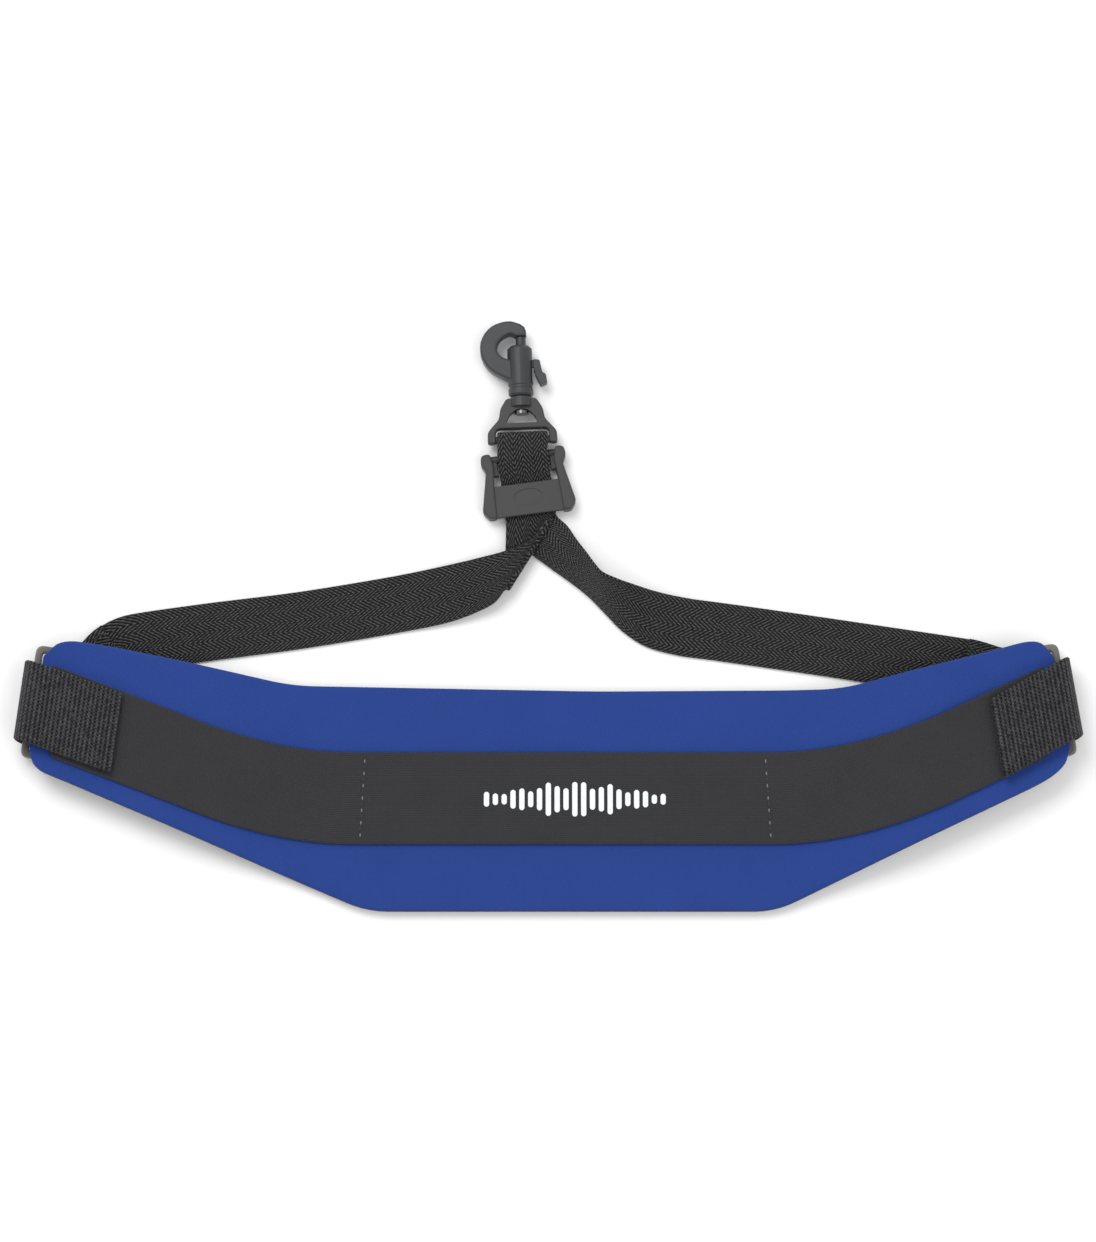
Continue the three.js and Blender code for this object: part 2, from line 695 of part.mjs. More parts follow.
// ---------------------------------------------------------------- slider
function sliderGeometry() {
  const earTop = 12.4; // low enough for the swivel frame to tip past the ears
  const rail = [
    [13.9, -15],
    [17.2, -15],
    [19.6, -11.6],
    [16.1, 5.2],
    [17.9, 8.2],
    [17.5, earTop - 0.8],
    [16.2, earTop],
    [13.6, earTop],
    [12.6, 7],
    [13.5, -2],
  ];
  const mirrored = rail.map(([u, v]) => [-u, v]).reverse();
  const plateOutline = [
    [-17.2, -15],
    [17.2, -15],
    [19, -11.4],
    [16.6, -1.5],
    [-16.6, -1.5],
    [-19, -11.4],
  ];
  const block = [
    [11, 3.2],
    [14, 3.2],
    [14, 9],
    [11, 9],
  ];
  const blockMirrored = block.map(([u, v]) => [-u, v]).reverse();
  let solid = toSolid(plate(roundedShape(rail, 1.2), 0, SLIDER_HIGH, 0.7, 3));
  solid = solid.add(toSolid(plate(roundedShape(mirrored, 1.2), 0, SLIDER_HIGH, 0.7, 3)));
  const plateShape = roundedShape(plateOutline, 1.6);
  solid = solid.add(toSolid(plate(plateShape, SLIDER_PLATE_UNDER, SLIDER_PLATE_TOP, 0.4, 3)));
  solid = solid.add(toSolid(plate(roundedShape(block, 0.4), 0.1, 4.4, 0.3, 2)));
  solid = solid.add(toSolid(plate(roundedShape(blockMirrored, 0.4), 0.1, 4.4, 0.3, 2)));
  const barEnd = (u) => vec(u, SLIDER_BAR_V, SLIDER_BAR_Z);
  solid = solid.add(toSolid(roundBar(barEnd(-14.5), barEnd(14.5), SLIDER_BAR_R, 20)));
  // a shallow plain oval recess in the plate
  const oval = new THREE.CylinderGeometry(1, 1, 2, 32);
  oval.rotateX(Math.PI / 2);
  oval.scale(6.2, 3.6, 1);
  oval.translate(0, -7.6, SLIDER_PLATE_TOP + 0.7);
  return toGeometry(solid.subtract(toSolid(oval)));
}
const slider = add('slider_frame', sliderGeometry(), 0x545455, 0.5);
slider.position.set(SLIDER_AT.x, SLIDER_AT.y, 0);
slider.rotation.z = SLIDER_TURN;

// ---------------------------------------------------------------- swivel frame and stud
const swivelGroup = new THREE.Group();
swivelGroup.position.set(SWIVEL_AT.x, SWIVEL_AT.y, STEM_Z);
swivelGroup.rotation.z = SWIVEL_TURN;
object.add(swivelGroup);

function addTo(group, mesh) {
  object.remove(mesh);
  group.add(mesh);
  return mesh;
}

function swivelFrameGeometry() {
  const outline = [
    [-14.6, -1.7],
    [-14.4, 3.2],
    [-9.6, 8.6],
    [-8.9, 13],
    [-6.2, 17.4],
    [6.2, 17.4],
    [8.9, 13],
    [9.6, 8.6],
    [14.4, 3.2],
    [14.6, -1.7],
    [11.2, -1.7],
    [11.2, 3.4],
    [10, 4.6],
    [-10, 4.6],
    [-11.2, 3.4],
    [-11.2, -1.7],
  ];
  let solid = toSolid(plate(roundedShape(outline, 1.2), -2.4, 2.4, 0.6, 3));
  solid = solid.add(toSolid(roundBar(vec(-13, 0, 0), vec(13, 0, 0), BASE_BAR_R, 20)));
  // hub under the barrel
  const hub = new THREE.CylinderGeometry(4.5, 5, 4, 28);
  hub.translate(0, 15.9, 0);
  solid = solid.add(toSolid(hub));
  // arched pocket above the crossbar, right through the plate
  const arch = new THREE.Shape();
  arch.absellipse(0, 6.8, 6.4, 6, 0, Math.PI, false);
  const pocket = new THREE.ExtrudeGeometry(arch, { depth: 8, bevelEnabled: false, curveSegments: 20 });
  pocket.translate(0, 0, -4);
  solid = solid.subtract(toSolid(pocket));
  // hole for the stud
  solid = solid.subtract(toSolid(roundBar(vec(0, 11, 0), vec(0, 19, 0), 1.9, 20)));
  return toGeometry(solid);
}
addTo(swivelGroup, add('swivel_frame', swivelFrameGeometry(), 0x4e4f51, 0.5));

// Rivet: a head in the pocket, a shank through the hub, a head inside the barrel.
function studGeometry() {
  const foot = BARREL_START;
  const profile = [
    [0, 10.9],
    [2.9, 10.9],
    [2.9, 12.1],
    [1.6, 12.1],
    [1.6, foot + 1.7],
    [3.1, foot + 1.7],
    [3.1, foot + 3.1],
    [0, foot + 3.1],
  ].map(([r, q]) => new THREE.Vector2(r, q));
  return new THREE.LatheGeometry(profile, 24);
}
const stud = toGeometry(toSolid(studGeometry()));
addTo(swivelGroup, add('swivel_stud', stud, 0x9a9a98, 0.35, 1));

// ---------------------------------------------------------------- hook
const hookGroup = new THREE.Group();
hookGroup.position.set(0, BARREL_START, 0);
swivelGroup.add(hookGroup);

function hookShape() {
  const outer = [
    [-2, 6],
    [-7.6, 8.2],
    [-13, 11.8],
    [-16.2, 17.6],
    [-15.9, 24.4],
    [-11.6, 30],
    [-4.6, 32.2],
    [0.6, 30.8],
  ];
  const inner = [[-1.7, 25.6], [-4.2, 26.5], [-8, 24.2], [-9.5, 20.6], [-8.2, 17.4], [-5, 15.8], [-2, 15.4]];
  const smooth = (rows, count) => new THREE.SplineCurve(rows.map(([x, y]) => new THREE.Vector2(x, y)))
    .getSpacedPoints(count);
  const tip = [new THREE.Vector2(2.4, 29.4), new THREE.Vector2(3, 27.6), new THREE.Vector2(3, 25.6)];
  return new THREE.Shape([...smooth(outer, 22), ...tip, ...smooth(inner, 18)]);
}

function hookGeometry() {
  const profile = [
    [0, 0],
    [4.4, 0],
    [BARREL_R, 0.8],
    [BARREL_R, 3],
    [BARREL_R - 0.35, 3.4],
    [BARREL_R - 0.35, 4.4],
    [BARREL_R, 4.8],
    [BARREL_R, BARREL_LONG - 1.2],
    [BARREL_R - 1.2, BARREL_LONG],
    [0, BARREL_LONG],
  ].map(([r, q]) => new THREE.Vector2(r, q));
  let solid = toSolid(new THREE.LatheGeometry(profile, 32));
  solid = solid.add(toSolid(plate(hookShape(), -3.2, 3.2, 0.9, 8)));
  // bore for the bolt, open at the top
  const boreR = BOLT_R + GAP;
  solid = solid.subtract(toSolid(roundBar(vec(BOLT_SIDE, 4.8, 0), vec(BOLT_SIDE, 24.5, 0), boreR, 24)));
  // pocket for the stud's head, and the hole it turns in
  solid = solid.subtract(toSolid(roundBar(vec(0, 1.4, 0), vec(0, 3.6, 0), 3.5, 24)));
  solid = solid.subtract(toSolid(roundBar(vec(0, -1, 0), vec(0, 2, 0), 1.6 + GAP, 24)));
  // slot in the side for the thumb knob's neck
  const slot = new THREE.BoxGeometry(6, 9.6, 2.6);
  slot.translate(BOLT_SIDE + 3, 11.5, 0);
  return toGeometry(solid.subtract(toSolid(slot)));
}
addTo(hookGroup, add('hook_body', hookGeometry(), 0x555658, 0.45));

const BOLT_TAIL = 12.5;
const BOLT_TIP = 25.3;
function boltGeometry() {
  let solid = toSolid(roundBar(vec(BOLT_SIDE, BOLT_TAIL, 0), vec(BOLT_SIDE, BOLT_TIP, 0), BOLT_R, 24));
  const neck = new THREE.BoxGeometry(6.4, 3, 2);
  neck.translate(BOLT_SIDE + 3.2, BOLT_TAIL + 1.5, 0);
  solid = solid.add(toSolid(neck));
  const knob = roundedShape([
    [5.6, 15.6],
    [8.2, 15.2],
    [9.2, 9.8],
    [10.6, 9.2],
    [11.2, 5.4],
    [8.4, 4.2],
    [6.6, 8],
    [5.6, 12],
  ], 0.6);
  return toGeometry(solid.add(toSolid(plate(knob, -2.4, 2.4, 0.3, 3))));
}
addTo(hookGroup, add('bolt', boltGeometry(), 0x5a5b5d, 0.4));

class Helix extends THREE.Curve {
  constructor(radius, low, high, turns) {
    super();
    Object.assign(this, { radius, low, high, turns });
  }

  getPoint(t, target = new THREE.Vector3()) {
    const angle = 2 * Math.PI * this.turns * t;
    return target.set(
      BOLT_SIDE + this.radius * Math.cos(angle),
      this.low + (this.high - this.low) * t,
      this.radius * Math.sin(angle),
    );
  }
}

function springGeometry() {
  const wire = new THREE.Shape();
  wire.absarc(0, 0, 0.28, 0, 2 * Math.PI, false);
  const path = new Helix(1.5, 5.4, BOLT_TAIL - 0.6, 4);
  return new THREE.ExtrudeGeometry(wire, {
    steps: 72,
    extrudePath: path,
    bevelEnabled: false,
    curveSegments: 4,
  });
}
addTo(hookGroup, add('bolt_spring', springGeometry(), 0xb8b8b8, 0.3, 1));

export default object;
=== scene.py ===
import math

import bpy
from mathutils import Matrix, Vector


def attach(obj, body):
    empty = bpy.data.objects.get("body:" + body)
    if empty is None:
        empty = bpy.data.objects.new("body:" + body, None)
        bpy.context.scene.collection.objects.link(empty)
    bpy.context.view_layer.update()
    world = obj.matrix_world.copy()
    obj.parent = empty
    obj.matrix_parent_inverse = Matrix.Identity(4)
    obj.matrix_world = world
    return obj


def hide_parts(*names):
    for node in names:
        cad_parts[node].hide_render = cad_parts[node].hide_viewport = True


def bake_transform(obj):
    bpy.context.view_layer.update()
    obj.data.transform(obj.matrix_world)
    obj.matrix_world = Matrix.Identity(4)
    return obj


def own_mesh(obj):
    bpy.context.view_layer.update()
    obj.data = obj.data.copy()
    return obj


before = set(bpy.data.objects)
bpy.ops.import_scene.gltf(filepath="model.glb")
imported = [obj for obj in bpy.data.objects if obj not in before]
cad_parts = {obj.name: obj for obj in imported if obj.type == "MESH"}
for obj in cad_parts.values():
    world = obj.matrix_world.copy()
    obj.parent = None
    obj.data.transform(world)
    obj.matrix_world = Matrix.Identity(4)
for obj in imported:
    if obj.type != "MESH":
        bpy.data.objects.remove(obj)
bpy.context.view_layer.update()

MM = 0.001
UP = Vector((0, 0, 1))


# ------------------------------------------------------------------ driving dimensions, in mm
GAP = 0.3
PAD_THICK = 5.0
TIP_LIFT = 9.2
LIFT_START = 92
LIFT_END = 160
BAND_THICK = 1.2
BAND_HALF = 19
BAND_MID_Y = -77.5
WEB = 1.5
STRAND_WIDTH = 24.4
NECK_WIDTH = 21
TAB_WIDTH = 33
BAR = 3
RING_PITCH = 13
OUTER_BAR_Z = 6
RING_WRAP = BAR / 2 + GAP + 0.15 + WEB / 2
INNER_BAR_Z = WEB / 2 + RING_WRAP
RING_SHIFT = 1.6
SLIDER_AT = Vector((-9.2, 56.3, 0))
SLIDER_TURN = math.radians(7.5)
SLIDER_BAR_V = 10.2
SLIDER_BAR_Z = 3
SLIDER_BAR_R = 1.6
SWIVEL_AT = Vector((-10.6, 73.2, 0))
SWIVEL_TURN = math.radians(2)
STEM_Z = 5.2
BASE_BAR_R = 1.6
STITCH_INSET = 3
THREAD_SUNK = 0.05


class Wing:
    """One side of the pad: how the band climbs, and where its tab folds round the ring."""

    def __init__(self, sign, bend_start, bend_end, slope, fold, along, across, tab_long):
        self.sign = sign
        self.bend_start = bend_start
        self.bend_end = bend_end
        self.slope = slope
        self.fold = Vector((*fold, 0))
        self.along = Vector((*along, 0)).normalized()
        self.across = Vector((*across, 0)).normalized()
        self.inward = Vector((-sign * self.across.y, sign * self.across.x, 0))
        self.tab_long = tab_long


WINGS = {
    "left": Wing(-1, 78, 145, 0.38, (-217, -37.4), (40.2, -14.6), (4, 32.5), 42.8),
    "right": Wing(1, 92, 168, 0.47, (216.8, -35.8), (-33, -18.5), (-4.8, 30.9), 37.8),
}


# ------------------------------------------------------------------ small maths
def smoothstep(x, low, high):
    t = min(max((x - low) / (high - low), 0), 1)
    return t * t * (3 - 2 * t)


def pad_lift(x):
    return TIP_LIFT * smoothstep(abs(x), LIFT_START, LIFT_END)


def band_middle(x):
    wing = WINGS["left"] if x < 0 else WINGS["right"]
    reach = abs(x)
    in_bend = min(max(reach, wing.bend_start), wing.bend_end) - wing.bend_start
    bend = wing.slope * in_bend**2 / (2 * (wing.bend_end - wing.bend_start))
    return BAND_MID_Y + bend + wing.slope * max(0, reach - wing.bend_end)


def centripetal(points, position):
    """A point on the centripetal Catmull-Rom curve through points, at a fractional index."""
    last = len(points) - 1
    i = min(int(position), last - 1)
    t = position - i
    p1 = points[i]
    p2 = points[i + 1]
    p0 = points[i - 1] if i > 0 else 2 * p1 - p2
    p3 = points[i + 2] if i + 2 <= last else 2 * p2 - p1
    d1 = max((p2 - p1).length, 1e-8) ** 0.5
    d0 = max((p1 - p0).length, 1e-8) ** 0.5
    d2 = max((p3 - p2).length, 1e-8) ** 0.5
    m1 = ((p1 - p0) / d0 - (p2 - p0) / (d0 + d1) + (p2 - p1) / d1) * d1
    m2 = ((p2 - p1) / d1 - (p3 - p1) / (d1 + d2) + (p3 - p2) / d2) * d1
    t2 = t * t
    t3 = t2 * t
    from_p1 = p1 * (2 * t3 - 3 * t2 + 1) + m1 * (t3 - 2 * t2 + t)
    return from_p1 + p2 * (3 * t2 - 2 * t3) + m2 * (t3 - t2)


def smooth_stations(keys, step):
    """Stations (edge a, edge b, key position) through key stations, close enough for a smooth strip."""
    edge_a = [k[0] for k in keys]
    edge_b = [k[1] for k in keys]
    out = []
    for i in range(len(keys) - 1):
        length = max((edge_a[i] - edge_a[i + 1]).length, (edge_b[i] - edge_b[i + 1]).length)
        parts = max(2, math.ceil(length / step))
        for j in range(parts):
            a = centripetal(edge_a, i + j / parts)
            b = centripetal(edge_b, i + j / parts)
            a.z = max(a.z, WEB / 2)
            b.z = max(b.z, WEB / 2)
            out.append((a, b, i + j / parts))
    out.append((edge_a[-1].copy(), edge_b[-1].copy(), len(keys) - 1))
    return out


# ------------------------------------------------------------------ mesh making
def new_object(name, vertices, faces, uvs=None):
    """A mesh object from vertices in millimetres; uvs are per vertex, in millimetres too."""
    mesh = bpy.data.meshes.new(name)
    mesh.from_pydata([Vector(v) * MM for v in vertices], [], faces)
    if uvs:
        layer = mesh.uv_layers.new(name="weave")
        for loop in mesh.loops:
            layer.data[loop.index].uv = uvs[loop.vertex_index]
    mesh.update()
    obj = bpy.data.objects.new(name, mesh)
    bpy.context.scene.collection.objects.link(obj)
    return obj


def shade(obj, degrees=40):
    obj.data.shade_smooth()
    obj.data.set_sharp_from_angle(angle=math.radians(degrees))


def webbing_section(width, thickness, columns=12):
    """Points (across -1..1, height -1..1) round a webbing's section with softly rounded edges."""
    edge = 0.8 * thickness / width
    row = [-math.cos(math.pi * k / columns) for k in range(columns + 1)]
    top = []
    for x in row:
        inside = max(0, abs(x) - (1 - edge)) / edge
        top.append((x, max(0.25, math.sqrt(max(0, 1 - inside**2)))))
    return top + [(x, -h) for x, h in reversed(top)]


def strip_piece(name, stations, thickness, caps=(True, True), fixed_normal=None, arch=None, columns=12):
    """A woven strip through stations (edge a, edge b, ...), with u across and v along in its uv map."""
    width = sum((s[1] - s[0]).length for s in stations) / len(stations)
    section = webbing_section(width, thickness, columns)
    ring = len(section)
    last = len(stations) - 1
    vertices = []
    uvs = []
    run = 0
    middle = [(s[0] + s[1]) / 2 for s in stations]
    for i, station in enumerate(stations):
        a, b = station[0], station[1]
        ahead = middle[min(i + 1, last)] - middle[max(i - 1, 0)]
        across = b - a
        normal = fixed_normal or ahead.cross(across).normalized()
        if i:
            run += (middle[i] - middle[i - 1]).length
        for x, h in section:
            centre = a.lerp(b, (x + 1) / 2)
            bow = arch(centre, x) if arch else 0
            point = centre + normal * (h * thickness / 2 + bow)
            vertices.append(point)
            uvs.append((x * width / 2, run))
    faces = []
    for i in range(last):
        for k in range(ring):
            p = i * ring + k
            q = i * ring + (k + 1) % ring
            faces.append((p, q, q + ring, p + ring))
    if caps[0]:
        faces.append(tuple(reversed(range(ring))))
    if caps[1]:
        faces.append(tuple(last * ring + k for k in range(ring)))
    obj = new_object(name, vertices, faces, uvs)
    shade(obj, 50)
    return obj


# One stitch from end to end: place along its length, and thickness as a share of its radius.
STITCH_PROFILE = ((-0.5, 0.35), (-0.36, 0.85), (0, 1), (0.36, 0.85), (0.5, 0.35))
STITCH_SIDES = 6


def stitch_row(points, pitch=3.0, long=2.3, radius=0.3):
    """Vertices and faces of a row of thread stitches along corner points in mm, end to end."""
    vertices = []
    faces = []
    for start, end in zip(points, points[1:]):
        along = end - start
        count = max(1, round(along.length / pitch))
        direction = along.normalized()
        side = direction.cross(UP).normalized()
        lift = side.cross(direction)
        for n in range(count):
            centre = start + along * (n + 0.5) / count
            base = len(vertices)
            for t, r in STITCH_PROFILE:
                dip = radius * (1.1 - 4.4 * t * t)
                for k in range(STITCH_SIDES):
                    angle = 2 * math.pi * k / STITCH_SIDES
                    offset = side * math.cos(angle) + lift * math.sin(angle)
                    on_line = centre + direction * (long * t)
                    vertices.append(on_line + offset * radius * r + lift * (dip - radius))
            end_ring = base + STITCH_SIDES * (len(STITCH_PROFILE) - 1)
            for ring in range(base, end_ring, STITCH_SIDES):
                for k in range(STITCH_SIDES):
                    p = ring + k
                    q = ring + (k + 1) % STITCH_SIDES
                    faces.append((p, q, q + STITCH_SIDES, p + STITCH_SIDES))
            faces.append(tuple(base + k for k in reversed(range(STITCH_SIDES))))
            faces.append(tuple(end_ring + k for k in range(STITCH_SIDES)))
    return vertices, faces


def stitching(name, rows, **sizes):
    vertices = []
    faces = []
    for row in rows:
        more, shapes = stitch_row(row, **sizes)
        base = len(vertices)
        vertices += more
        faces += [tuple(base + i for i in face) for face in shapes]
    obj = new_object(name, vertices, faces)
    shade(obj, 80)
    return obj


# ------------------------------------------------------------------ materials
class Shader:
    """Short names for building a procedural material on a Principled shader."""

    def __init__(self, name, color, roughness, **constants):
        self.material = bpy.data.materials.new(name)
        self.material.use_nodes = True
        self.tree = self.material.node_tree
        self.shader = self.tree.nodes["Principled BSDF"]
        self.shader.inputs["Base Color"].default_value = (*color, 1)
        self.shader.inputs["Roughness"].default_value = roughness
        for socket, value in constants.items():
            self.shader.inputs[socket.replace("_", " ")].default_value = value

    def node(self, kind, **inputs):
        made = self.tree.nodes.new(kind)
        for socket, value in inputs.items():
            self.plug(made.inputs[socket.replace("_", " ")], value)
        return made

    def plug(self, socket, value):
        if isinstance(value, bpy.types.NodeSocket):
            self.tree.links.new(value, socket)
        else:
            socket.default_value = value

    def math(self, operation, a, b=0.0):
        made = self.tree.nodes.new("ShaderNodeMath")
        made.operation = operation
        self.plug(made.inputs[0], a)
        self.plug(made.inputs[1], b)
        return made.outputs[0]

    def wave(self, value, period):
        return self.math("SINE", self.math("MULTIPLY", value, 2 * math.pi / period))

    def uv(self):
        made = self.tree.nodes.new("ShaderNodeUVMap")
        made.uv_map = "weave"
        split = self.node("ShaderNodeSeparateXYZ", Vector=made.outputs[0])
        return split.outputs[0], split.outputs[1]

    def place(self):
        return self.tree.nodes.new("ShaderNodeTexCoord").outputs["Object"]

    def noise(self, scale, detail=3.0, roughness=0.6):
        sizes = {"Scale": scale, "Detail": detail, "Roughness": roughness}
        made = self.node("ShaderNodeTexNoise", Vector=self.place(), **sizes)
        return made.outputs["Fac"]

    def ramp(self, value, low, high, a, b):
        made = self.tree.nodes.new("ShaderNodeMapRange")
        numbers = {"Value": value, "From Min": low, "From Max": high, "To Min": a, "To Max": b}
        for socket, number in numbers.items():
            self.plug(made.inputs[socket], number)
        return made.outputs["Result"]

    def tint(self, value, dark, light):
        made = self.tree.nodes.new("ShaderNodeMix")
        made.data_type = "RGBA"
        self.plug(made.inputs["Factor"], value)
        mixed = [s for s in made.outputs if s.type == "RGBA"][0]
        colour = [s for s in made.inputs if s.type == "RGBA"]
        colour[0].default_value = (*dark, 1)
        colour[1].default_value = (*light, 1)
        self.plug(self.shader.inputs["Base Color"], mixed)

    def bump(self, height, distance, strength=1.0):
        made = self.node("ShaderNodeBump", Height=height, Distance=distance, Strength=strength)
        self.plug(self.shader.inputs["Normal"], made.outputs["Normal"])

    def rough(self, value, low, high):
        self.plug(self.shader.inputs["Roughness"], self.ramp(value, 0.3, 0.7, low, high))


CLOTH = {"Sheen_Weight": 0.06, "Sheen_Roughness": 0.5, "Specular_IOR_Level": 0.22}


def herringbone_webbing():
    """Columns of diagonal ribs that change direction, with single yarns across each rib."""
    s = Shader("herringbone_webbing", (0.02, 0.02, 0.023), 0.75, **CLOTH)
    u, v = s.uv()
    zigzag = s.math("PINGPONG", s.math("ADD", u, 40.0), 4.0)
    rib = s.wave(s.math("ADD", v, s.math("MULTIPLY", zigzag, 1.5)), 2.1)
    yarn = s.wave(u, 1.05)
    woven = s.math("ADD", rib, s.math("MULTIPLY", s.math("MULTIPLY", rib, yarn), 0.7))
    fleck = s.math("MULTIPLY", s.math("SUBTRACT", s.noise(900), 0.5), 1.6)
    height = s.math("ADD", woven, fleck)
    # The tint follows the rib height: painted shade in the grooves and painted highlight on the crowns
    # of the one black yarn. The flecks are the yarn's own random tone.
    s.tint(s.ramp(height, -0.1, 1.8, 0, 1), (0.002, 0.002, 0.003), (0.150, 0.150, 0.156))
    s.bump(height, 0.00035, 1.0)
    return s.material


def coarse_webbing():
    """A plain weave with thick rows across the tab."""
    s = Shader("black_webbing", (0.02, 0.02, 0.024), 0.78, **CLOTH)
    u, v = s.uv()
    row = s.wave(v, 1.9)
    warp = s.wave(u, 1.5)
    crossed = s.math("MULTIPLY", s.math("MULTIPLY", row, warp), 0.8)
    woven = s.math("ADD", s.math("MULTIPLY", row, 0.8), crossed)
    fleck = s.math("MULTIPLY", s.math("SUBTRACT", s.noise(650), 0.5), 3.2)
    height = s.math("ADD", woven, fleck)
    # The tint follows the weave's height: painted shade in the hollows and painted highlight on the rows
    # of the black yarn. The flecks are the yarn's own random tone.
    s.tint(s.ramp(height, -0.7, 2.0, 0, 1), (0.002, 0.002, 0.003), (0.100, 0.101, 0.108))
    s.bump(height, 0.00035, 1.0)
    return s.material


def elastic_band():
    """Smooth elastic with very fine ribs along it."""
    s = Shader("black_elastic", (0.03, 0.03, 0.032), 0.6, **CLOTH)
    u, v = s.uv()
    ribs = s.math("ADD", s.wave(u, 0.75), s.math("MULTIPLY", s.wave(v, 0.6), 0.5))
    cloudy = s.noise(60, 4)
    height = s.math("ADD", ribs, s.math("MULTIPLY", s.noise(700), 1.4))
    # The rib height darkens the tint in the hollows and lightens it on the ribs: painted shade and
    # highlight. The cloudy part is the elastic's own uneven tone.
    s.tint(s.math("ADD", s.ramp(height, -1, 2.2, 0, 0.7), s.math("MULTIPLY", cloudy, 0.3)),
           (0.015, 0.015, 0.018), (0.040, 0.040, 0.043))
    s.bump(height, 0.00012, 0.8)
    return s.material


def jersey(name, dark, light, roughness=0.82):
    """Knitted jersey laminated on foam: fine wales, a soft nap and faint clouding."""
    s = Shader(name, light, roughness, **CLOTH)
    split = s.node("ShaderNodeSeparateXYZ", Vector=s.place())
    x_mm = s.math("MULTIPLY", split.outputs[0], 1000.0)
    y_mm = s.math("MULTIPLY", split.outputs[1], 1000.0)
    stitch = s.math("MULTIPLY", s.wave(x_mm, 0.9), s.wave(y_mm, 1.2))
    nap = s.noise(1400, 3)
    cloudy = s.noise(45, 5)
    height = s.math("ADD", s.math("MULTIPLY", stitch, 0.5), nap)
    # Half the tint follows the knit's height: painted shade in the hollows and painted highlight on the
    # loops. The clouding is the jersey's own uneven tone.
    knit_shade_and_highlight = s.math("MULTIPLY", s.ramp(height, 0.1, 0.95, 0, 1), 0.5)
    mixed = s.math("ADD", knit_shade_and_highlight, s.math("MULTIPLY", cloudy, 0.5))
    s.tint(mixed, dark, light)
    s.bump(height, 0.00016, 0.8)
    return s.material


def foam():
    s = Shader("black_foam", (0.014, 0.014, 0.015), 0.9)
    cells = s.noise(1600, 2)
    s.tint(cells, (0.006, 0.006, 0.007), (0.026, 0.026, 0.028))
    s.bump(cells, 0.0002, 0.8)
    return s.material


def thread(name, color):
    s = Shader(name, color, 0.55, Sheen_Weight=0.2)
    s.bump(s.noise(3000, 2), 0.00006, 0.6)
    return s.material


def print_ink():
    s = Shader("white_print", (0.78, 0.79, 0.80), 0.6)
    worn = s.noise(500, 4)
    s.tint(worn, (0.66, 0.67, 0.69), (0.86, 0.87, 0.88))
    s.bump(worn, 0.00004, 0.5)
    return s.material


def plastic(name, color, roughness, grain=1500):
    """Moulded nylon: fine spark-eroded grain, faint flow clouding and rubbed patches."""
    s = Shader(name, color, roughness, Specular_IOR_Level=0.35)
    fine = s.noise(grain, 3)
    cloudy = s.noise(90, 4)
    dark = tuple(0.80 * c for c in color)
    light = tuple(1.18 * c for c in color)
    s.tint(cloudy, dark, light)
    s.rough(cloudy, roughness - 0.09, roughness + 0.1)
    s.bump(fine, 0.00005, 0.55)
    return s.material


def steel():
    s = Shader("steel", (0.16, 0.16, 0.16), 0.35, Metallic=1.0)
    marks = s.noise(700, 4)
    s.rough(marks, 0.22, 0.42)
    s.bump(marks, 0.00003, 0.4)
    return s.material


HERRINGBONE = herringbone_webbing()
COARSE = coarse_webbing()
ELASTIC = elastic_band()
BLUE = jersey("blue_jersey", (0.009, 0.034, 0.185), (0.018, 0.054, 0.262))
BLACK_JERSEY = jersey("black_jersey", (0.012, 0.012, 0.014), (0.03, 0.03, 0.034))
FOAM = foam()
THREAD = thread("black_thread", (0.006, 0.006, 0.007))
PALE_THREAD = thread("pale_thread", (0.15, 0.15, 0.155))
INK = print_ink()
HOOK_PLASTIC = plastic("hook_plastic", (0.036, 0.038, 0.041), 0.42)
DARK_PLASTIC = plastic("dark_plastic", (0.036, 0.036, 0.037), 0.45)
GREY_PLASTIC = plastic("grey_plastic", (0.15, 0.14, 0.128), 0.4)
STEEL = steel()


def paint(obj, *materials):
    obj.data.materials.clear()
    for material in materials:
        obj.data.materials.append(material)
    return obj


# ------------------------------------------------------------------ camera, light and floor
VIEW_ELEVATION = math.radians(80)
VIEW_DISTANCE = 1.5
VIEW_WIDTH = 0.455
VIEW_CENTRE = Vector((0, -0.0027, 0))


def add_camera():
    data = bpy.data.cameras.new("camera")
    data.sensor_fit = "HORIZONTAL"
    data.angle_x = 2 * math.atan(VIEW_WIDTH / 2 / VIEW_DISTANCE)
    camera = bpy.data.objects.new("camera", data)
    back = Vector((0, -math.cos(VIEW_ELEVATION), math.sin(VIEW_ELEVATION)))
    camera.location = VIEW_CENTRE + back * VIEW_DISTANCE
    camera.rotation_euler = (-back).to_track_quat("-Z", "Y").to_euler()
    bpy.context.scene.collection.objects.link(camera)
    bpy.context.scene.camera = camera


def add_light(name, place, size, watts):
    data = bpy.data.lights.new(name, "AREA")
    data.size = size
    data.energy = watts
    light = bpy.data.objects.new(name, data)
    light.location = place
    light.rotation_euler = Vector(place).to_track_quat("Z", "Y").to_euler()
    bpy.context.scene.collection.objects.link(light)


def add_studio():
    far = 4000
    corners = [(-far, -far, 0), (far, -far, 0), (far, far, 0), (-far, far, 0)]
    floor = new_object("floor", corners, [(0, 1, 2, 3)])
    floor.location.z = -0.0002
    s = Shader("floor", (0.9, 0.9, 0.9), 0.9)
    paint(floor, s.material)
    world = bpy.data.worlds.new("studio")
    world.use_nodes = True
    world.node_tree.nodes["Background"].inputs["Color"].default_value = (1, 1, 1, 1)
    world.node_tree.nodes["Background"].inputs["Strength"].default_value = 0.72
    bpy.context.scene.world = world
    add_light("key", (-0.5, 0.7, 1.3), 0.9, 13)
    add_light("fill", (0.8, -0.5, 1.2), 1.2, 6)
    bpy.context.scene.view_settings.view_transform = "Standard"


